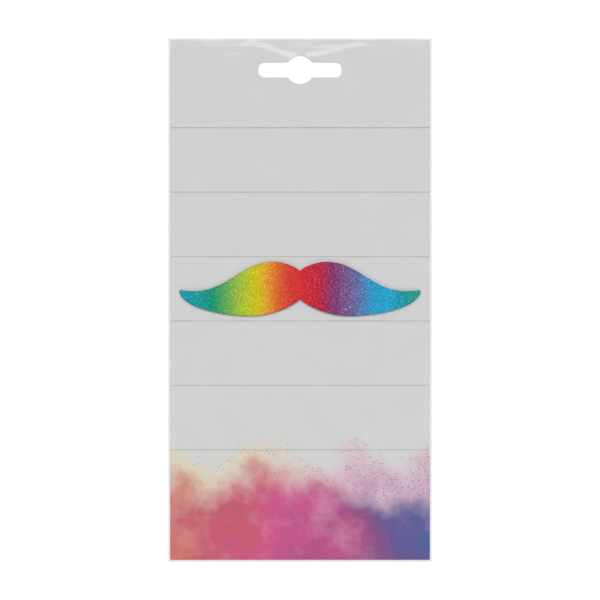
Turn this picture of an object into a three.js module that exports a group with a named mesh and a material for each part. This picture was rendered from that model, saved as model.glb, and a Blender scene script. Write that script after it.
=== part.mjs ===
// A rainbow glitter stick-on moustache on its retail card.
//
// The card lies on its back with the moustache on top. A clear release film covers the card's front. It is cut
// straight across into a header, six strips and a footer, so that a strip tears off with its moustache. One
// moustache is in place, on the third strip from the top. It is a die-cut sheet of glitter felt, and its whole
// underside carries the adhesive that holds it to the film, and later to an upper lip.
//
// Millimetres. The origin is on the card's underside, at its middle. +X runs to the card's right, +Y to its
// top edge, and +Z out of its printed front.

import * as THREE from "three";

// The board. Its height is worked out below from the stretches that the tear lines part it into.
const CARD_WIDTH = 100;
const CARD_THICKNESS = 0.5;
const CARD_CORNER = 0.4;

// The hang slot through the board and the film: a long slot with a round eye in its middle.
const SLOT_LENGTH = 32;
const SLOT_HEIGHT = 6;
const SLOT_CORNER = 2.3;
const SLOT_EYE = 11;
const SLOT_DROP = 11.4; // from the card's top edge down to the slot's middle

// The film, and the straight tear lines that part it.
const FILM_THICKNESS = 0.15;
const FILM_OVERHANG = 0.7; // past each edge of the card
const HEADER_HEIGHT = 33.7; // from the card's top edge down to the first tear line
const STRIP_HEIGHT = 24.8; // from one tear line to the next
const STRIP_COUNT = 6;
const FOOTER_HEIGHT = 17.5; // from the last tear line down to the card's lower edge
const TEAR_GAP = 0.3;

// The moustache, the same left and right. Its lobes lie in the middle of the strip that carries it.
const CARRYING_STRIP = 3; // counted from the top
const ADHESIVE_THICKNESS = 0.15;
const FELT_THICKNESS = 1.2;
const SPAN = 92.9; // between the tips, before they are rounded
const LOBE_HEIGHT = 20.7; // from the crests down to the bellies
const NECK_HEIGHT = 10.9; // between the two notches
const NECK_RISE = 1.5; // the neck's middle above the lobes' middle
const CREST_OUT = 10; // from the middle out to a lobe's highest point
const BELLY_OUT = 18.8; // from the middle out to a lobe's lowest point
const TIP_DROP = 0.4; // the tips below the lobes' middle
const EDGE_ROUND = 0.25; // pressed round by the cutting die, above and below
const TIP_FLAT = 0.07; // radius of the flat top's tips, inside the pressed edge

// How the right half's outline bends at its corners, from the upper notch out round the tip to the lower notch.
// Each handle runs from its corner towards the curve before or after it. Across is a share of half the span,
// and up is a share of half the lobes' height.
const BENDS = {
  upperNotch: { after: { across: 0.046, up: 0.153 } },
  crest: { before: { across: -0.079, up: 0 }, after: { across: 0.297, up: 0 } },
  tip: { before: { across: -0.385, up: -0.3 }, after: { across: -0.036, up: -0.67 } },
  belly: { before: { across: 0.229, up: 0 }, after: { across: -0.165, up: 0 } },
  lowerNotch: { before: { across: 0.081, up: -0.316 } },
};

// How finely the curves are divided.
const CORNER_STEPS = 4;
const EYE_STEPS = 14;
const BEND_STEPS = 24;
const TIP_STEPS = 4;
const ROUND_STEPS = 3;

const SAME_POINT = 0.01;

const filmBottom = CARD_THICKNESS;
const adhesiveBottom = filmBottom + FILM_THICKNESS;
const feltBottom = adhesiveBottom + ADHESIVE_THICKNESS;
const cardHeight = HEADER_HEIGHT + STRIP_COUNT * STRIP_HEIGHT + FOOTER_HEIGHT;
const cardTop = cardHeight / 2;

const paper = new THREE.MeshStandardMaterial({ color: 0xd2d2d4, roughness: 0.55, metalness: 0 });
const clearFilm = new THREE.MeshStandardMaterial({
  color: 0xf2f4f5,
  roughness: 0.12,
  metalness: 0,
  transparent: true,
  opacity: 0.25,
});
const glue = new THREE.MeshStandardMaterial({ color: 0xe9e4d4, roughness: 0.4, metalness: 0 });
const glitter = new THREE.MeshStandardMaterial({ color: 0xd8323a, roughness: 0.35, metalness: 0.3 });

// A closed outline through the points of several lines and curves, with points that meet kept once.
function outlineOf(curves) {
  const points = [];
  for (const { curve, steps } of curves) {
    for (const point of curve.getPoints(steps)) {
      const last = points[points.length - 1];
      if (!last || last.distanceTo(point) > SAME_POINT) points.push(point);
    }
  }
  while (points[0].distanceTo(points[points.length - 1]) <= SAME_POINT) points.pop();
  return points;
}

// An arc of a circle, counter-clockwise between two angles.
function arc(x, y, radius, from, to, steps) {
  return { curve: new THREE.EllipseCurve(x, y, radius, radius, from, to), steps };
}

// A rectangle with round corners, given by its left, lower, right and upper edges.
function roundedRectangle(left, lower, right, upper, radius) {
  const quarter = Math.PI / 2;
  const corner = (x, y, turn) => arc(x, y, radius, turn * quarter, (turn + 1) * quarter, CORNER_STEPS);
  return outlineOf([
    corner(right - radius, upper - radius, 0),
    corner(left + radius, upper - radius, 1),
    corner(left + radius, lower + radius, 2),
    corner(right - radius, lower + radius, 3),
  ]);
}

// The hang slot's outline: two round-cornered ends, and the eye's two arcs between them.
function hangSlot() {
  const quarter = Math.PI / 2;
  const middle = cardTop - SLOT_DROP;
  const endX = SLOT_LENGTH / 2 - SLOT_CORNER;
  const endY = SLOT_HEIGHT / 2 - SLOT_CORNER;
  const eyeRadius = SLOT_EYE / 2;
  const eyeAngle = Math.asin(SLOT_HEIGHT / SLOT_EYE); // where the eye's arcs leave the slot's straight edges
  const corner = (x, y, turn) =>
    arc(x, middle + y, SLOT_CORNER, turn * quarter, (turn + 1) * quarter, CORNER_STEPS);
  return outlineOf([
    arc(0, middle, eyeRadius, eyeAngle, Math.PI - eyeAngle, EYE_STEPS),
    corner(-endX, endY, 1),
    corner(-endX, -endY, 2),
    arc(0, middle, eyeRadius, Math.PI + eyeAngle, 2 * Math.PI - eyeAngle, EYE_STEPS),
    corner(endX, -endY, 3),
    corner(endX, endY, 0),
  ]);
}

// The moustache's outline. The right half is drawn, and the left half is its mirror image.
function moustacheOutline() {
  const halfSpan = SPAN / 2;
  const halfHeight = LOBE_HEIGHT / 2;
  const corners = {
    upperNotch: new THREE.Vector2(0, NECK_RISE + NECK_HEIGHT / 2),
    crest: new THREE.Vector2(CREST_OUT, halfHeight),
    tip: new THREE.Vector2(halfSpan, -TIP_DROP),
    belly: new THREE.Vector2(BELLY_OUT, -halfHeight),
    lowerNotch: new THREE.Vector2(0, NECK_RISE - NECK_HEIGHT / 2),
  };
  const reach = (name, side) => {
    const { across, up } = BENDS[name][side];
    return new THREE.Vector2(across * halfSpan, up * halfHeight);
  };
  const handle = (name, side) => reach(name, side).add(corners[name]);
  // Seen from above, a tip's curve is wide enough to leave the flat top a round end inside its pressed edge.
  const halfAngle = reach("tip", "before").angleTo(reach("tip", "after")) / 2;
  const cutBack = ((EDGE_ROUND + TIP_FLAT) * Math.cos(halfAngle)) / Math.sin(halfAngle) ** 2;
  const blunted = (side) => reach("tip", side).setLength(cutBack).add(corners.tip);
  const bend = (start, from, to, end) => ({
    curve: new THREE.CubicBezierCurve(start, handle(from, "after"), handle(to, "before"), end),
    steps: BEND_STEPS,
  });
  const roundedTip = new THREE.QuadraticBezierCurve(blunted("before"), corners.tip, blunted("after"));
  const right = outlineOf([
    bend(corners.upperNotch, "upperNotch", "crest", corners.crest),
    bend(corners.crest, "crest", "tip", blunted("before")),
    { curve: roundedTip, steps: TIP_STEPS },
    bend(blunted("after"), "tip", "belly", corners.belly),
    bend(corners.belly, "belly", "lowerNotch", corners.lowerNotch),
  ]);
  const between = right.slice(1, -1);
  const left = between.reverse().map((point) => new THREE.Vector2(-point.x, point.y));
  return [...right, ...left];
}

// A flat sheet cut to an outline, with its holes, standing on z = 0.
function cutSheet(outline, holes, thickness) {
  const shape = new THREE.Shape(outline);
  shape.holes = holes.map((hole) => new THREE.Path(hole));
  return new THREE.ExtrudeGeometry(shape, { depth: thickness, bevelEnabled: false });
}

// A cut sheet whose upper and lower edges are rounded inside the outline.
function softSheet(outline, thickness, round) {
  const geometry = new THREE.ExtrudeGeometry(new THREE.Shape(outline), {
    depth: thickness - 2 * round,
    bevelThickness: round,
    bevelSize: round,
    bevelOffset: -round,
    bevelSegments: ROUND_STEPS,
  });
  return geometry.translate(0, 0, round);
}

function node(name, geometry, material, height) {
  const mesh = new THREE.Mesh(geometry, material);
  mesh.name = name;
  mesh.position.z = height;
  return mesh;
}

function backingCard() {
  const halfWidth = CARD_WIDTH / 2;
  const board = roundedRectangle(-halfWidth, -cardTop, halfWidth, cardTop, CARD_CORNER);
  return node("backing_card", cutSheet(board, [hangSlot()], CARD_THICKNESS), paper, 0);
}

// The height on the card of a tear line, counted from 0 at the header's lower edge.
function tearLine(count) {
  return cardTop - HEADER_HEIGHT - count * STRIP_HEIGHT;
}

// One piece of the film between two heights on the card.
function filmPiece(name, upper, lower, holes) {
  const side = CARD_WIDTH / 2 + FILM_OVERHANG;
  const outline = [
    new THREE.Vector2(-side, lower),
    new THREE.Vector2(side, lower),
    new THREE.Vector2(side, upper),
    new THREE.Vector2(-side, upper),
  ];
  return node(name, cutSheet(outline, holes, FILM_THICKNESS), clearFilm, filmBottom);
}

function releaseFilm() {
  const film = new THREE.Group();
  const halfGap = TEAR_GAP / 2;
  const end = cardTop + FILM_OVERHANG;
  film.add(filmPiece("film_header", end, tearLine(0) + halfGap, [hangSlot()]));
  for (let count = 1; count <= STRIP_COUNT; count += 1) {
    film.add(filmPiece(`film_strip_${count}`, tearLine(count - 1) - halfGap, tearLine(count) + halfGap, []));
  }
  film.add(filmPiece("film_footer", tearLine(STRIP_COUNT) - halfGap, -end, []));
  return film;
}

function stickOnMoustache() {
  const stuck = new THREE.Group();
  const outline = moustacheOutline();
  stuck.add(node("adhesive_layer", cutSheet(outline, [], ADHESIVE_THICKNESS), glue, adhesiveBottom));
  stuck.add(node("moustache", softSheet(outline, FELT_THICKNESS, EDGE_ROUND), glitter, feltBottom));
  stuck.position.y = tearLine(CARRYING_STRIP - 1) - STRIP_HEIGHT / 2;
  return stuck;
}

const part = new THREE.Group();
part.add(backingCard(), releaseFilm(), stickOnMoustache());

export default part;
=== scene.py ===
import math

import bpy
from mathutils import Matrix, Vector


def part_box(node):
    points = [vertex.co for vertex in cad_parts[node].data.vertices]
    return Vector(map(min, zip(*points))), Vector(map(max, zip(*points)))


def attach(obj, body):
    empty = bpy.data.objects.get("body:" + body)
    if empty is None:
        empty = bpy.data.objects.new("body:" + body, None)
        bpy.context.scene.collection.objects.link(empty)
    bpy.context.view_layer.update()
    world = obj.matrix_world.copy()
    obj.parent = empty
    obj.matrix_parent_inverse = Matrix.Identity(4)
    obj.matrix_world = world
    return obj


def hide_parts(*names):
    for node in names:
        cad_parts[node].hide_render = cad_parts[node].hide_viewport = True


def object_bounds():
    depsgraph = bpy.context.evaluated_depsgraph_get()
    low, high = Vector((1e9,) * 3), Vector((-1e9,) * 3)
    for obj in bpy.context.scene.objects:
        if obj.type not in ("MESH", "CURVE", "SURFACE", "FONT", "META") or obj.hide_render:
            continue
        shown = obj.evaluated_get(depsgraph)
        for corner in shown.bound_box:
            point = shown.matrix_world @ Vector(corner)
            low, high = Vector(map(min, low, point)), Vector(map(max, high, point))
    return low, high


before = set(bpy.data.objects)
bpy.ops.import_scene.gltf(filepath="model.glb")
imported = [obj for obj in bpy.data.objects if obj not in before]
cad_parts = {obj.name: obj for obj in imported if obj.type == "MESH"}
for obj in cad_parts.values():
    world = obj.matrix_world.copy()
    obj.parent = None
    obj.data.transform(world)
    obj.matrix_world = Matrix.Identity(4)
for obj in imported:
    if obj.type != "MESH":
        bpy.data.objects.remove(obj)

cad_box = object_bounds()

# The view. The camera looks straight down on the card, which lies on its back, with the hang slot at the top
# of the picture. Its lens is long, and it takes in a square of the photograph's width at the card's height.
VIEW_WIDTH = 0.2309
LENS_MM = 120
SENSOR_MM = 36
card_low, card_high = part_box("backing_card")
eye_height = card_high.z + VIEW_WIDTH * LENS_MM / SENSOR_MM
bpy.ops.object.select_all(action="DESELECT")
bpy.ops.object.camera_add(location=(0, 0, eye_height), rotation=(0, 0, 0))
camera = bpy.context.object
camera.data.lens = LENS_MM
camera.data.sensor_width = SENSOR_MM
bpy.context.scene.camera = camera
bpy.context.scene.view_settings.view_transform = "Standard"


# The card is a smooth pale grey board, printed on its front and bare on its back. Its edges are guillotined,
# the slot is punched, and the die that cuts the film scores a fine line across the board at each cut. The
# dark line along each cut is painted shade of the slit.
CARD_GREY = "e0e0e0"
PAINTED_TOP_GREY = "d9d9da"
BARE_BOARD = "d9d7d1"
PALE_WASH = (0.044, 0.031)
FULL_WASH = (0.036, 0.018)
SCORE_DEPTH = 0.00004
SLIT_SHADE_CORE = 0.00012
SLIT_SHADE_REACH = 0.00022
CRUSHED_EDGE = 0.00006
FLAT_FACE = 0.8
SAME_POINT = 0.000001
FILM_NAMES = ["film_header"] + [f"film_strip_{count}" for count in range(1, 7)] + ["film_footer"]
tear_lines = []
for upper, lower in zip(FILM_NAMES, FILM_NAMES[1:]):
    tear_lines.append((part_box(upper)[0].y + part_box(lower)[1].y) / 2)
tear_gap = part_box("film_header")[0].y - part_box("film_strip_1")[1].y


def linear(code):
    """The four numbers of a colour written as six hexadecimal digits."""
    parts = [int(code[start:start + 2], 16) / 255 for start in (0, 2, 4)]
    return [part / 12.92 if part <= 0.04045 else ((part + 0.055) / 1.055) ** 2.4 for part in parts] + [1]


def add_node(tree, kind, links=None, values=None, **settings):
    """A shader or geometry node with its settings, its sockets' own values and what is linked to them."""
    node = tree.nodes.new(kind)
    for name, value in settings.items():
        setattr(node, name, value)
    for socket, value in (values or {}).items():
        node.inputs[socket].default_value = value
    for socket, source in (links or {}).items():
        tree.links.new(source, node.inputs[socket])
    return node


def new_material(name):
    """An empty material, with its node tree and its output node."""
    material = bpy.data.materials.new(name)
    material.use_nodes = True
    material.node_tree.nodes.clear()
    return material, material.node_tree, add_node(material.node_tree, "ShaderNodeOutputMaterial")


def own_place(tree):
    """The socket that gives a point's place on the object, in metres."""
    return add_node(tree, "ShaderNodeTexCoord").outputs["Object"]


def noise(tree, place, scale, detail=2.0, rough=0.5):
    """A noise texture's node. Its scale is in repeats per metre."""
    values = {"Scale": scale, "Detail": detail, "Roughness": rough}
    return add_node(tree, "ShaderNodeTexNoise", {"Vector": place}, values)


def sums(tree, operation, first, second=None, third=None):
    """The socket of a Math node between sockets or plain numbers."""
    node = add_node(tree, "ShaderNodeMath", operation=operation)
    for index, source in enumerate((first, second, third)):
        if isinstance(source, bpy.types.NodeSocket):
            tree.links.new(source, node.inputs[index])
        elif source is not None:
            node.inputs[index].default_value = source
    return node.outputs[0]


def spread(tree, source, low, high, to_low=0.0, to_high=1.0, smooth=False):
    """A socket whose range from low to high is spread over another range, and held at its ends."""
    kind = "SMOOTHSTEP" if smooth else "LINEAR"
    values = {"From Min": low, "From Max": high, "To Min": to_low, "To Max": to_high}
    node = add_node(tree, "ShaderNodeMapRange", {"Value": source}, values, interpolation_type=kind)
    return node.outputs[0]


def ramp(tree, source, bands):
    """The colour socket of a ramp through bands, each with where it lies from 0 to 1 and its colour."""
    node = add_node(tree, "ShaderNodeValToRGB", {"Fac": source})
    stops = node.color_ramp.elements
    for index, (place, code) in enumerate(bands):
        stop = stops[index] if index < len(stops) else stops.new(place)
        stop.position, stop.color = place, linear(code)
    return node.outputs["Color"]


def mixed(tree, share, first, second, blend="MIX"):
    """The colour socket of a mix. Each colour is a socket or six hexadecimal digits."""
    node = add_node(tree, "ShaderNodeMix", data_type="RGBA", blend_type=blend)
    for index, source in ((0, share), (6, first), (7, second)):
        if isinstance(source, bpy.types.NodeSocket):
            tree.links.new(source, node.inputs[index])
        else:
            node.inputs[index].default_value = linear(source) if isinstance(source, str) else source
    return node.outputs[2]


def bumped(tree, height, distance):
    """The normal socket of a bump whose full height is a distance in metres."""
    values = {"Strength": 1.0, "Distance": distance}
    return add_node(tree, "ShaderNodeBump", {"Height": height}, values).outputs["Normal"]


def coat(tree, out, links, values):
    """Gives a material its finish, by a Principled shader joined to its output."""
    shader = add_node(tree, "ShaderNodeBsdfPrincipled", links, values)
    tree.links.new(shader.outputs["BSDF"], out.inputs["Surface"])


def printed_front():
    """Satin grey print with a soft wash of colour along the foot."""
    material, tree, out = new_material("printed card front")
    place = own_place(tree)
    across, up, _ = add_node(tree, "ShaderNodeSeparateXYZ", {"Vector": place}).outputs
    cloud = noise(tree, place, 34, detail=4, rough=0.55)
    drift = sums(tree, "SUBTRACT", cloud.outputs["Fac"], 0.5)

    mottle = spread(tree, noise(tree, place, 90, detail=3).outputs["Fac"], 0.3, 0.7)
    # Painted light: the grey is darker towards the top and paler towards the foot, to even out the lamps'
    # fall-off.
    paper = mixed(tree, spread(tree, up, card_low.y * 0.3, card_high.y), CARD_GREY, PAINTED_TOP_GREY)
    paper = mixed(tree, mottle, paper, "fbfbfb", blend="MULTIPLY")

    from_side = sums(tree, "MULTIPLY_ADD", drift, 0.075, across)
    wash = ramp(tree, spread(tree, from_side, card_low.x, card_high.x), [
        (0.0, "e0685c"),
        (0.18, "d64a68"),
        (0.40, "df3f8e"),
        (0.60, "c43488"),
        (0.76, "8e348c"),
        (0.88, "5c4099"),
        (1.0, "3850a2"),
    ])
    smoke = noise(tree, place, 48, detail=5, rough=0.58).outputs["Fac"]
    wash = mixed(tree, spread(tree, smoke, 0.50, 0.72, 0, 0.42), wash, "f2c6d4")
    grain = noise(tree, place, 420, detail=4, rough=0.7).outputs["Fac"]
    wash = mixed(tree, spread(tree, grain, 0.3, 0.7, 0.16, 0), wash, "4a2a5c")

    foot = card_low.y
    edge_place = sums(tree, "MULTIPLY_ADD", drift, 0.055, up)
    pale_share = spread(tree, edge_place, foot + PALE_WASH[0], foot + PALE_WASH[1], 0, 0.6, smooth=True)
    full_share = spread(tree, edge_place, foot + FULL_WASH[0], foot + FULL_WASH[1], smooth=True)
    fringe = ramp(tree, spread(tree, from_side, card_low.x, card_high.x), [
        (0.12, "ebdfa8"),
        (0.45, "ecd0c0"),
        (0.72, "e095bd"),
    ])
    grains = add_node(tree, "ShaderNodeTexVoronoi", {"Vector": place}, {"Scale": 1250})
    picked = add_node(tree, "ShaderNodeSeparateColor", {"Color": grains.outputs["Color"]}).outputs[0]
    sprinkled = sums(tree, "SUBTRACT", pale_share, full_share)
    sprinkled = sums(tree, "MULTIPLY", sprinkled, spread(tree, across, card_low.x, card_high.x, 0.25, 1.1))
    round_grain = spread(tree, grains.outputs["Distance"], 0.22, 0.36, 0.8, 0)
    dusted = sums(tree, "MULTIPLY", round_grain, sums(tree, "LESS_THAN", picked, sprinkled))
    colour = mixed(tree, full_share, mixed(tree, pale_share, paper, fringe), wash)
    colour = mixed(tree, dusted, colour, wash)

    # Painted shade: a thin darker line across the board under each cut in the film, standing in for the
    # shade in the slit.
    line_step = tear_lines[0] - tear_lines[1]
    middle_line = (len(tear_lines) - 1) / 2
    count = sums(tree, "DIVIDE", sums(tree, "SUBTRACT", tear_lines[0], up), line_step)
    off_line = sums(tree, "ABSOLUTE", sums(tree, "SUBTRACT", count, sums(tree, "ROUND", count)))
    away = sums(tree, "MULTIPLY", off_line, line_step)
    painted_slit_shade = spread(tree, away, SLIT_SHADE_CORE, SLIT_SHADE_REACH, 0.36, 0)
    from_middle = sums(tree, "ABSOLUTE", sums(tree, "SUBTRACT", count, middle_line))
    on_card = sums(tree, "LESS_THAN", from_middle, middle_line + 0.5)
    colour = mixed(tree, sums(tree, "MULTIPLY", painted_slit_shade, on_card), colour, "6c6c6e", blend="MULTIPLY")

    tooth = noise(tree, place, 2600, detail=2).outputs["Fac"]
    links = {"Base Color": colour, "Normal": bumped(tree, tooth, 0.0000025)}
    coat(tree, out, links, {"Roughness": 0.42})
    return material


def bare_back():
    """Uncoated board with short pale and dark fibres."""
    material, tree, out = new_material("bare card back")
    place = own_place(tree)
    fibres = add_node(tree, "ShaderNodeMapping", {"Vector": place}, {"Scale": (1, 5, 1)}).outputs[0]
    fleck = spread(tree, noise(tree, fibres, 700, detail=4, rough=0.7).outputs["Fac"], 0.35, 0.7)
    colour = mixed(tree, fleck, BARE_BOARD, "cbc8c0")
    links = {"Base Color": colour, "Normal": bumped(tree, fleck, 0.00001)}
    coat(tree, out, links, {"Roughness": 0.85})
    return material


def cut_board():
    """The board's cut edge, with the fine layers of its pulp."""
    material, tree, out = new_material("cut card edge")
    place = own_place(tree)
    layers = add_node(tree, "ShaderNodeMapping", {"Vector": place}, {"Scale": (1, 1, 30)}).outputs[0]
    grain = noise(tree, layers, 500, detail=3).outputs["Fac"]
    colour = mixed(tree, spread(tree, grain, 0.3, 0.7), "e6e4df", "cfccc5")
    links = {"Base Color": colour, "Normal": bumped(tree, grain, 0.00002)}
    coat(tree, out, links, {"Roughness": 0.8})
    return material


def copy_of_node(node_name, piece_name):
    """A new piece from a CAD node's mesh, with its loose triangles joined."""
    bpy.ops.object.select_all(action="DESELECT")
    piece = bpy.data.objects.new(piece_name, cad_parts[node_name].data.copy())
    bpy.context.scene.collection.objects.link(piece)
    piece.select_set(True)
    bpy.context.view_layer.objects.active = piece
    bpy.ops.object.mode_set(mode="EDIT")
    bpy.ops.mesh.select_all(action="SELECT")
    bpy.ops.mesh.remove_doubles(threshold=SAME_POINT)
    bpy.ops.object.mode_set(mode="OBJECT")
    return piece


def select_points(piece, chosen):
    """Selects just the points of a piece whose place passes a test, and goes into edit mode."""
    for part in (piece.data.polygons, piece.data.edges):
        part.foreach_set("select", [False] * len(part))
    piece.data.vertices.foreach_set("select", [bool(chosen(point.co)) for point in piece.data.vertices])
    bpy.ops.object.mode_set(mode="EDIT")
    bpy.ops.mesh.select_mode(type="VERT")


def apply_modifier(piece, kind, **settings):
    """Adds a modifier to a piece, with its settings, and applies it."""
    bpy.ops.object.select_all(action="DESELECT")
    piece.select_set(True)
    bpy.context.view_layer.objects.active = piece
    modifier = piece.modifiers.new(kind, kind)
    for name, value in settings.items():
        setattr(modifier, name, value)
    bpy.ops.object.modifier_apply(modifier=modifier.name)


def fit_material(piece, *materials):
    """Gives a piece its materials, in place of those that it has."""
    piece.data.materials.clear()
    for material in materials:
        piece.data.materials.append(material)


card = copy_of_node("backing_card", "card")
bpy.ops.object.mode_set(mode="EDIT")
bpy.ops.mesh.select_all(action="SELECT")
bpy.ops.mesh.dissolve_limited(angle_limit=math.radians(0.5))
bpy.ops.object.mode_set(mode="OBJECT")
for line in tear_lines:
    for height in (line - tear_gap / 2, line, line + tear_gap / 2):
        bpy.ops.object.mode_set(mode="EDIT")
        bpy.ops.mesh.select_all(action="SELECT")
        bpy.ops.mesh.bisect(plane_co=(0, height, 0), plane_no=(0, 1, 0))
        bpy.ops.object.mode_set(mode="OBJECT")


def on_score(point):
    """Whether a point lies on the board's face in the middle of a scored line."""
    near = min(abs(point.y - line) for line in tear_lines)
    return point.z > card_high.z - CRUSHED_EDGE and near < tear_gap / 20


select_points(card, on_score)
bpy.ops.transform.translate(value=(0, 0, -SCORE_DEPTH))
bpy.ops.object.mode_set(mode="OBJECT")
apply_modifier(card, "BEVEL", width=CRUSHED_EDGE, segments=2, limit_method="ANGLE",
               angle_limit=math.radians(60))
fit_material(card, printed_front(), bare_back(), cut_board())
for face in card.data.polygons:
    face.material_index = 0 if face.normal.z > FLAT_FACE else 1 if face.normal.z < -FLAT_FACE else 2
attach(card, "root")
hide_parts("backing_card")


# The release film is clear polyester over the card's whole front. It is cut across into a header, six strips
# and a footer, each lightly stuck down, so that it lies almost flat with a few shallow creases.
FILM_TINT = "fafafa"
RIPPLE = 0.00005
RIPPLE_LENGTH = 0.014
GRID_STEP = 0.001
CALM_EDGE = 0.009
WRINKLE = 0.00007
WRINKLE_SIZE = (0.022, 0.0032, 0.01)
WRINKLE_TURN = 3
WRINKLED_FROM = 0.082
CALMER_RIGHT = 0.6
CUTTER_STRETCH = 20
UNDER_FILM = 0.00001
film_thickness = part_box("film_header")[1].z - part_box("film_header")[0].z
CREASES = {
    "film_header": [
        {"from": (-0.019, 0.0975), "to": (-0.003, 0.0925), "height": 0.00007, "reach": 0.0024},
        {"from": (0.004, 0.0925), "to": (0.024, 0.0970), "height": 0.00005, "reach": 0.0028},
        {"from": (-0.008, 0.0800), "to": (0.006, 0.0715), "height": 0.00004, "reach": 0.0045},
    ],
    "film_strip_5": [{"from": (0.037, -0.0395), "to": (0.049, -0.0390), "height": 0.00010, "reach": 0.0030}],
}


def clear_film():
    """Clear glossy film, which tints what lies under it faintly and reflects as a thin film does."""
    material, tree, out = new_material("clear release film")
    facing = add_node(tree, "ShaderNodeLayerWeight", values={"Blend": 0.5}).outputs["Facing"]
    shine = spread(tree, sums(tree, "POWER", facing, 5), 0, 1, 0.045, 1)
    gloss = add_node(tree, "ShaderNodeBsdfGlossy", values={"Color": (1, 1, 1, 1), "Roughness": 0.07})
    clear = add_node(tree, "ShaderNodeBsdfTransparent", values={"Color": linear(FILM_TINT)})
    film = add_node(tree, "ShaderNodeMixShader", {0: shine, 1: clear.outputs[0], 2: gloss.outputs[0]})
    tree.links.new(film.outputs[0], out.inputs["Surface"])
    return material


def frosted_cut():
    """The film's cut edge, which scatters light."""
    material, tree, out = new_material("cut film edge")
    grain = noise(tree, own_place(tree), 4000).outputs["Fac"]
    finish = {"Base Color": linear("c9cbcd"), "Roughness": 0.5}
    coat(tree, out, {"Normal": bumped(tree, grain, 0.00002)}, finish)
    return material


def near_crease(crease):
    """A test for points that lie close to a crease's line."""
    (from_x, from_y), (to_x, to_y) = crease["from"], crease["to"]
    run_x, run_y = to_x - from_x, to_y - from_y

    def close(point):
        along = (point.x - from_x) * run_x + (point.y - from_y) * run_y
        share = min(1, max(0, along / (run_x ** 2 + run_y ** 2)))
        near_x, near_y = from_x + share * run_x, from_y + share * run_y
        return math.hypot(point.x - near_x, point.y - near_y) < GRID_STEP * 0.6

    return close


ripple = bpy.data.textures.new("film ripple", "CLOUDS")
ripple.noise_scale = RIPPLE_LENGTH
ripple.noise_depth = 1
wrinkle = bpy.data.textures.new("film wrinkle", "CLOUDS")
wrinkle.noise_scale = 1
wrinkle.noise_depth = 1
bpy.ops.object.select_all(action="DESELECT")
bpy.ops.object.empty_add(location=(0, 0, 0), rotation=(0, 0, math.radians(WRINKLE_TURN)))
wrinkle_way = bpy.context.object
wrinkle_way.scale = WRINKLE_SIZE
film_clear, film_cut = clear_film(), frosted_cut()
worn_low, worn_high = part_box("moustache")


def film_piece(node_name):
    """One stretch of the film: a rippled grid, creased and given its thickness. The header has the slot."""
    low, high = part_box(node_name)
    size_x, size_y = high.x - low.x, high.y - low.y
    step = GRID_STEP / 2 if node_name == "film_header" else GRID_STEP
    bpy.ops.object.select_all(action="DESELECT")
    bpy.ops.mesh.primitive_grid_add(
        x_subdivisions=round(size_x / step),
        y_subdivisions=round(size_y / step),
        size=1,
        location=((low.x + high.x) / 2, (low.y + high.y) / 2, low.z + UNDER_FILM),
    )
    piece = bpy.context.object
    piece.name = "clear_" + node_name
    bpy.ops.transform.resize(value=(size_x, size_y, 1))
    bpy.ops.object.transform_apply(location=True, rotation=True, scale=True)

    free = piece.vertex_groups.new(name="free")
    for point in piece.data.vertices:
        beyond = max(point.co.y - worn_high.y, worn_low.y - point.co.y, 0)
        free.add([point.index], min(1, beyond / CALM_EDGE), "REPLACE")
    apply_modifier(
        piece,
        "DISPLACE",
        texture=ripple,
        texture_coords="LOCAL",
        direction="Z",
        strength=RIPPLE,
        mid_level=0,
        vertex_group="free",
    )
    if node_name == "film_header":
        upper = piece.vertex_groups.new(name="upper")
        for point in piece.data.vertices:
            share = (point.co.y - WRINKLED_FROM) / (high.y - WRINKLED_FROM)
            calm = CALMER_RIGHT * max(0, point.co.x) / high.x
            upper.add([point.index], max(0, share) * (1 - calm), "REPLACE")
        apply_modifier(
            piece,
            "DISPLACE",
            texture=wrinkle,
            texture_coords="OBJECT",
            texture_coords_object=wrinkle_way,
            direction="Z",
            strength=WRINKLE,
            mid_level=0,
            vertex_group="upper",
        )
    for crease in CREASES.get(node_name, []):
        select_points(piece, near_crease(crease))
        bpy.ops.transform.translate(
            value=(0, 0, crease["height"]),
            use_proportional_edit=True,
            proportional_edit_falloff="SMOOTH",
            proportional_size=crease["reach"],
        )
        bpy.ops.object.mode_set(mode="OBJECT")
    apply_modifier(piece, "SOLIDIFY", thickness=film_thickness - UNDER_FILM, offset=1)

    if node_name == "film_header":
        cutter = copy_of_node(node_name, "slot cutter")
        bpy.ops.object.mode_set(mode="EDIT")
        bpy.ops.mesh.select_all(action="SELECT")
        bpy.ops.transform.resize(value=(1, 1, CUTTER_STRETCH), center_override=(low + high) / 2)
        bpy.ops.object.mode_set(mode="OBJECT")
        apply_modifier(piece, "BOOLEAN", operation="INTERSECT", object=cutter, solver="EXACT")
        bpy.data.objects.remove(cutter)

    fit_material(piece, film_clear, film_cut)
    for face in piece.data.polygons:
        face.material_index = 0 if abs(face.normal.z) > FLAT_FACE else 1
    piece.select_set(True)
    bpy.ops.object.shade_smooth_by_angle(angle=math.radians(30))
    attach(piece, "root")
    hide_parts(node_name)


for name in FILM_NAMES:
    film_piece(name)
bpy.data.objects.remove(wrinkle_way)


# The glue is a milky pressure-sensitive layer over the moustache's whole underside. Only its edge shows,
# between the film and the felt.
def milky_glue():
    """Milky adhesive, a little uneven in its colour and its surface."""
    material, tree, out = new_material("milky glue")
    grain = noise(tree, own_place(tree), 1800, detail=3).outputs["Fac"]
    colour = mixed(tree, spread(tree, grain, 0.3, 0.7), "efe9d6", "dcd5bf")
    links = {"Base Color": colour, "Normal": bumped(tree, grain, 0.00003)}
    coat(tree, out, links, {"Roughness": 0.3})
    return material


fit_material(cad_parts["adhesive_layer"], milky_glue())


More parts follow.
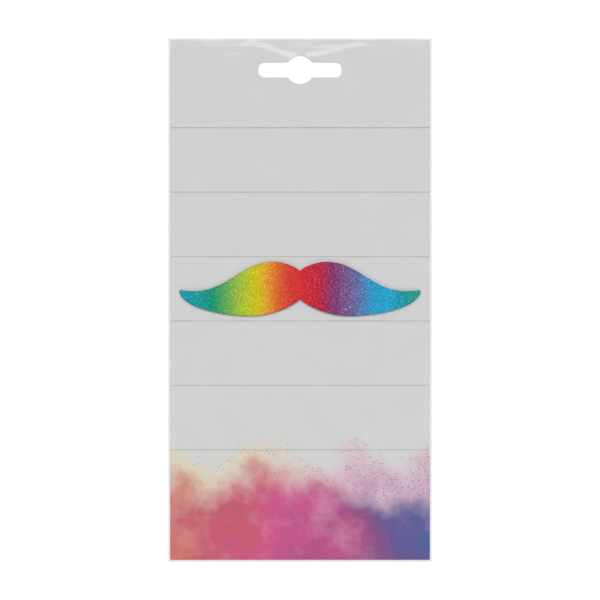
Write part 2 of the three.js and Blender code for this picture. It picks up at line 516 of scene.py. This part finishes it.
# The moustache is one sheet of soft felt, die-cut, with the cutter's pressure rounding its edges. Its face
# is sprayed with glue and colour in soft upright bands, from one tip to the other, and dusted with glitter.
FELT_STEP = 0.00022
FELT_GRIT = 0.00005
GRIT_LENGTH = 0.0007
GLITTER_STAND = 0.00006
BAND_SWAY = 0.003
BANDS = [
    (0.00, "0c8dae"),  # sea blue
    (0.08, "029393"),  # teal
    (0.15, "028f60"),  # emerald
    (0.20, "60a450"),  # leaf green
    (0.26, "a2b726"),  # lime
    (0.32, "c3ba10"),  # yellow
    (0.36, "d49821"),  # amber
    (0.40, "ce6322"),  # orange
    (0.45, "ca352a"),  # vermilion
    (0.53, "c91c27"),  # red
    (0.59, "b21239"),  # crimson
    (0.64, "782467"),  # plum
    (0.70, "6d4f89"),  # violet
    (0.75, "506ba7"),  # cornflower
    (0.80, "1894c5"),  # azure
    (0.86, "16a1cb"),  # sky blue
    (0.93, "02939a"),  # turquoise
    (1.00, "069a8c"),  # sea green
]


def rainbow(tree, across):
    """The colour socket of the bands at a place across the moustache."""
    return ramp(tree, spread(tree, across, worn_low.x, worn_high.x), BANDS)


def sprayed_felt():
    """Matted fibre in the colours of the bands, with darker specks."""
    material, tree, out = new_material("sprayed felt")
    place = own_place(tree)
    across = add_node(tree, "ShaderNodeSeparateXYZ", {"Vector": place}).outputs[0]
    sway = sums(tree, "SUBTRACT", noise(tree, place, 120, detail=3).outputs["Fac"], 0.5)
    colour = rainbow(tree, sums(tree, "MULTIPLY_ADD", sway, BAND_SWAY, across))
    fibre = noise(tree, place, 3800, detail=4, rough=0.7).outputs["Fac"]
    colour = mixed(tree, spread(tree, fibre, 0.3, 0.7, 0.5, 0.1), colour, "2b2b30")
    links = {"Base Color": colour, "Normal": bumped(tree, fibre, 0.00006)}
    coat(tree, out, links, {"Roughness": 0.8, "Sheen Weight": 0.2})
    return material


def copy_of_felt(piece_name):
    """A copy of the moustache's solid, lowered at its face by what the glitter stands up from it."""
    piece = copy_of_node("moustache", piece_name)
    thickness = worn_high.z - worn_low.z
    bpy.ops.object.mode_set(mode="EDIT")
    bpy.ops.mesh.select_all(action="SELECT")
    bpy.ops.transform.resize(value=(1, 1, 1 - GLITTER_STAND / thickness), center_override=worn_low)
    bpy.ops.object.mode_set(mode="OBJECT")
    return piece


felt = copy_of_felt("felt_moustache")
apply_modifier(felt, "REMESH", mode="VOXEL", voxel_size=FELT_STEP)
grit = bpy.data.textures.new("felt grit", "CLOUDS")
grit.noise_scale = GRIT_LENGTH
grit.noise_depth = 2
upper = felt.vertex_groups.new(name="upper")
for point in felt.data.vertices:
    upper.add([point.index], 1.0 if point.co.z > worn_low.z + FELT_STEP else 0.0, "REPLACE")
apply_modifier(felt, "DISPLACE", texture=grit, texture_coords="LOCAL", strength=FELT_GRIT, mid_level=0.5,
               vertex_group="upper")
fit_material(felt, sprayed_felt())
felt.data.shade_smooth()
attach(felt, "root")
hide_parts("moustache")


# The glitter is thousands of tiny six-sided flakes of coloured foil, each a little tilted in the glue. They
# are laid in two passes, a coarse one and a fine one that fills the gaps between.
FLAKE_SIDES = 6
FLAKE_DEPTH = 0.45
COPY_SIZES = (0.75, 1.2)
POINTS_TRIED = 3
FACE_SLOPE = 0.35
CELL_REACH = 0.34
SHADED_TONES = (0.0, 0.42)
WARM_TONES = (0.44, 0.475)
PALE_GLINT_TONES = (0.55, 0.95)
GLINT_TONES = (0.96, 1.0)
TONE_JUMP = 0.004
GLITTER = {
    "coarse_glitter": {"radius": 0.00019, "apart": 0.00024, "tilt": 14, "seed": 3},
    "fine_glitter": {"radius": 0.00014, "apart": 0.00019, "tilt": 20, "seed": 11},
}


def foil():
    """Coloured foil. A flake's tone, from 0 to 1, says whether it gets painted shade, a warm tint, a pale
    painted glint or a bright painted glint.
    """
    material, tree, out = new_material("glitter foil")
    seat = add_node(tree, "ShaderNodeAttribute", attribute_name="seat").outputs["Vector"]
    tone = add_node(tree, "ShaderNodeAttribute", attribute_name="tone").outputs["Fac"]
    across = add_node(tree, "ShaderNodeSeparateXYZ", {"Vector": seat}).outputs[0]
    sway = sums(tree, "SUBTRACT", noise(tree, seat, 120, detail=3).outputs["Fac"], 0.5)
    place = sums(tree, "MULTIPLY_ADD", sway, BAND_SWAY, across)
    jump = sums(tree, "SUBTRACT", sums(tree, "FRACT", sums(tree, "MULTIPLY", tone, 37.0)), 0.5)
    colour = rainbow(tree, sums(tree, "MULTIPLY_ADD", jump, TONE_JUMP, place))
    lively = spread(tree, across, 0, worn_high.x * 0.35, 0.34, 1.0)
    # Painted shade: flakes of low tone are darkened, standing in for flakes turned away from the light.
    painted_shade_share = sums(tree, "MULTIPLY", spread(tree, tone, *SHADED_TONES, 0.4, 0), lively)
    colour = mixed(tree, painted_shade_share, colour, "1d1d28")
    outward = spread(tree, sums(tree, "ABSOLUTE", across), worn_high.x * 0.5, worn_high.x * 0.65)
    above = sums(tree, "GREATER_THAN", tone, WARM_TONES[0])
    below = sums(tree, "LESS_THAN", tone, WARM_TONES[1])
    warm = sums(tree, "MULTIPLY", sums(tree, "MULTIPLY", above, below), outward)
    colour = mixed(tree, sums(tree, "MULTIPLY", warm, 0.2), colour, "e0a88a")
    # Painted highlight: flakes of high tone are paled, and the highest nearly whitened, standing in for
    # flakes that catch the lamp.
    light = sums(tree, "MULTIPLY", spread(tree, tone, *PALE_GLINT_TONES, 0, 0.09), lively)
    light = sums(tree, "MULTIPLY", light, spread(tree, outward, 0, 1, 1, 0.3))
    painted_glint_share = sums(tree, "MULTIPLY", spread(tree, tone, *GLINT_TONES, 0, 0.26), lively)
    colour = mixed(tree, sums(tree, "ADD", light, painted_glint_share), colour, "f4f0f4")
    finish = {"Metallic": 0.3, "Roughness": 0.4, "Specular IOR Level": 0.05}
    coat(tree, out, {"Base Color": colour}, finish)
    return material


def select_faces(piece, chosen):
    """Selects just the faces of a piece that pass a test, and goes into edit mode."""
    piece.data.vertices.foreach_set("select", [False] * len(piece.data.vertices))
    piece.data.edges.foreach_set("select", [False] * len(piece.data.edges))
    piece.data.polygons.foreach_set("select", [bool(chosen(face)) for face in piece.data.polygons])
    bpy.ops.object.mode_set(mode="EDIT")
    bpy.ops.mesh.select_mode(type="FACE")


def one_flake(radius):
    """A flake: a flat hexagon on top, with a shallow point below, which sits in the glue."""
    bpy.ops.object.select_all(action="DESELECT")
    bpy.ops.mesh.primitive_cone_add(
        vertices=FLAKE_SIDES,
        radius1=0,
        radius2=radius,
        depth=radius * FLAKE_DEPTH,
        location=(0, 0, 0),
    )
    flake = bpy.context.object
    bpy.ops.object.transform_apply(location=True, rotation=True, scale=True)
    return flake


def scattering(shape, apart, tilt, seed):
    """A geometry node group that lays copies of a shape over a face, no two centres closer than apart."""
    group = bpy.data.node_groups.new("scattering", "GeometryNodeTree")
    group.interface.new_socket("Geometry", in_out="INPUT", socket_type="NodeSocketGeometry")
    group.interface.new_socket("Geometry", in_out="OUTPUT", socket_type="NodeSocketGeometry")
    face = group.nodes.new("NodeGroupInput").outputs[0]
    out = group.nodes.new("NodeGroupOutput")
    laid = add_node(group, "GeometryNodeDistributePointsOnFaces", {"Mesh": face},
                    {"Distance Min": apart, "Density Max": POINTS_TRIED / apart ** 2, "Seed": seed},
                    distribute_method="POISSON")
    lean = math.radians(tilt)
    turn = add_node(group, "FunctionNodeRandomValue", data_type="FLOAT_VECTOR")
    turn.inputs[0].default_value = (-lean, -lean, 0)
    turn.inputs[1].default_value = (lean, lean, math.tau)
    turn.inputs["Seed"].default_value = seed + 1
    own_turn = add_node(group, "FunctionNodeEulerToRotation", {0: turn.outputs[0]})
    angle = add_node(group, "FunctionNodeRotateRotation",
                     {"Rotation": laid.outputs["Rotation"], "Rotate By": own_turn.outputs[0]},
                     rotation_space="LOCAL")
    size = add_node(group, "FunctionNodeRandomValue", data_type="FLOAT")
    size.inputs[2].default_value, size.inputs[3].default_value = COPY_SIZES
    size.inputs["Seed"].default_value = seed + 2
    one = add_node(group, "GeometryNodeObjectInfo", values={"Object": shape})
    copies = add_node(group, "GeometryNodeInstanceOnPoints", {
        "Points": laid.outputs["Points"],
        "Instance": one.outputs["Geometry"],
        "Rotation": angle.outputs[0],
        "Scale": size.outputs[1],
    })
    tone = add_node(group, "FunctionNodeRandomValue", data_type="FLOAT")
    tone.inputs["Seed"].default_value = seed + 3
    toned = add_node(group, "GeometryNodeStoreNamedAttribute",
                     {"Geometry": copies.outputs[0], "Value": tone.outputs[1]}, {"Name": "tone"},
                     data_type="FLOAT", domain="INSTANCE")
    seat = add_node(group, "GeometryNodeInputPosition")
    seated = add_node(group, "GeometryNodeStoreNamedAttribute",
                      {"Geometry": toned.outputs[0], "Value": seat.outputs[0]}, {"Name": "seat"},
                      data_type="FLOAT_VECTOR", domain="INSTANCE")
    real = add_node(group, "GeometryNodeRealizeInstances", {"Geometry": seated.outputs[0]})
    group.links.new(real.outputs[0], out.inputs[0])
    return group


def own_cells(piece, points_each):
    """Lays each copy of a shape out in a cell of its own, so that a baked picture keeps its colour."""
    columns = math.ceil(math.sqrt(len(piece.data.vertices) / points_each))
    cells = piece.data.uv_layers.new(name="OFBake", do_init=False)
    for face in piece.data.polygons:
        turn = math.tau / face.loop_total
        for step, loop in enumerate(face.loop_indices):
            number = piece.data.loops[loop].vertex_index // points_each
            row, column = divmod(number, columns)
            cells.uv[loop].vector = (
                (column + 0.5 + CELL_REACH * math.cos(step * turn)) / columns,
                (row + 0.5 + CELL_REACH * math.sin(step * turn)) / columns,
            )
    piece.data.uv_layers.remove(piece.data.uv_layers["UVMap"])


foil_finish = foil()
for name, pass_of in GLITTER.items():
    flake = one_flake(pass_of["radius"])
    piece = copy_of_felt(name)
    select_faces(piece, lambda face: face.normal.z < FACE_SLOPE)
    bpy.ops.mesh.delete(type="FACE")
    bpy.ops.object.mode_set(mode="OBJECT")
    group = scattering(flake, pass_of["apart"], pass_of["tilt"], pass_of["seed"])
    apply_modifier(piece, "NODES", node_group=group)
    bpy.data.objects.remove(flake)
    own_cells(piece, FLAKE_SIDES + 1)
    fit_material(piece, foil_finish)
    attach(piece, "root")


# The felt's cut edge is matted fibre. Short fibres of it stand out in low loops, each a little tilted. The
# spray hardly reached some of them, so that they stay paler than their band.
FIBRE_THICKNESS = 0.000022
FIBRE_LENGTH = 0.00046
FIBRE_RISE = 0.00008
FIBRE_ROOT = 0.00003
FIBRE_RINGS = 4
FIBRE_SIDES = 3
FIBRE_APART = 0.00016
FIBRE_TILT = 12
FIBRE_SEED = 23


def half_dyed():
    """Fibre in its band's colour, some of it darker, and some paler, where the spray hardly reached."""
    material, tree, out = new_material("felt fibre")
    seat = add_node(tree, "ShaderNodeAttribute", attribute_name="seat").outputs["Vector"]
    tone = add_node(tree, "ShaderNodeAttribute", attribute_name="tone").outputs["Fac"]
    across = add_node(tree, "ShaderNodeSeparateXYZ", {"Vector": seat}).outputs[0]
    colour = mixed(tree, spread(tree, tone, 0.0, 0.5, 0.3, 0), rainbow(tree, across), "2b2b30")
    colour = mixed(tree, spread(tree, tone, 0.5, 1.0, 0, 0.45), colour, "dcdad4")
    coat(tree, out, {"Base Color": colour}, {"Roughness": 0.75})
    return material


def one_fibre():
    """A short fibre with its ends in the felt and its middle clear of it."""
    bpy.ops.object.select_all(action="DESELECT")
    bpy.ops.mesh.primitive_cone_add(
        vertices=FIBRE_SIDES,
        radius1=FIBRE_THICKNESS / 2,
        radius2=FIBRE_THICKNESS / 2,
        depth=FIBRE_LENGTH,
        location=(0, 0, -FIBRE_ROOT),
        rotation=(0, math.pi / 2, 0),
    )
    fibre = bpy.context.object
    bpy.ops.object.transform_apply(location=True, rotation=True, scale=True)
    for place in (-FIBRE_LENGTH / 6, FIBRE_LENGTH / 6):
        bpy.ops.object.mode_set(mode="EDIT")
        bpy.ops.mesh.select_all(action="SELECT")
        bpy.ops.mesh.bisect(plane_co=(place, 0, 0), plane_no=(1, 0, 0))
        bpy.ops.object.mode_set(mode="OBJECT")
    select_points(fibre, lambda point: abs(point.x) < FIBRE_LENGTH / 3)
    bpy.ops.transform.translate(value=(0, 0, FIBRE_RISE))
    bpy.ops.object.mode_set(mode="OBJECT")
    return fibre


fibre = one_fibre()
fibres = copy_of_felt("edge_fibres")
select_faces(fibres, lambda face: abs(face.normal.z) > FACE_SLOPE)
bpy.ops.mesh.delete(type="FACE")
bpy.ops.object.mode_set(mode="OBJECT")
apply_modifier(fibres, "NODES", node_group=scattering(fibre, FIBRE_APART, FIBRE_TILT, FIBRE_SEED))
bpy.data.objects.remove(fibre)
own_cells(fibres, FIBRE_RINGS * FIBRE_SIDES)
fit_material(fibres, half_dyed())
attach(fibres, "root")


# The floor and the light: a plain white floor, a broad soft lamp beyond the card's top edge, a fill lamp
# beyond its foot, a narrow lamp that the film's creases catch, and an even white sky.
FLOOR_WIDTH = 60
SKY_STRENGTH = 0.47
LAMPS = {
    "soft lamp": {"place": (0.14, 1.61, 3.92), "size": (2.8, 1.05), "watts": 103},
    "fill lamp": {"place": (0.0, -1.36, 1.84), "size": (1.92, 1.12), "watts": 9.6},
    "narrow lamp": {"place": (-0.15, 0.33, 1.3), "size": (0.6, 0.09), "watts": 0.25},
}


def plain_floor():
    """Matt white, very faintly mottled."""
    material, tree, out = new_material("plain white floor")
    grain = noise(tree, own_place(tree), 60).outputs["Fac"]
    colour = mixed(tree, spread(tree, grain, 0.3, 0.7), "fafafa", "f8f8f8")
    coat(tree, out, {"Base Color": colour}, {"Roughness": 0.9})
    return material


bpy.ops.object.select_all(action="DESELECT")
bpy.ops.mesh.primitive_plane_add(size=FLOOR_WIDTH, location=(0, 0, cad_box[0].z))
floor = bpy.context.object
floor.name = "floor"
bpy.ops.object.transform_apply(location=True, rotation=True, scale=True)
fit_material(floor, plain_floor())

for name, lamp in LAMPS.items():
    x, y, z = lamp["place"]
    bpy.ops.object.light_add(type="AREA", location=lamp["place"], rotation=(-math.atan2(y, z), 0, 0))
    light = bpy.context.object
    light.name = name
    light.data.shape = "RECTANGLE"
    light.data.size, light.data.size_y = lamp["size"]
    light.data.energy = lamp["watts"]

world = bpy.data.worlds.new("even sky")
bpy.context.scene.world = world
world.use_nodes = True
world.node_tree.nodes.clear()
light_of_sky = {"Color": (1, 1, 1, 1), "Strength": SKY_STRENGTH}
sky = add_node(world.node_tree, "ShaderNodeBackground", values=light_of_sky)
add_node(world.node_tree, "ShaderNodeOutputWorld", {"Surface": sky.outputs[0]})
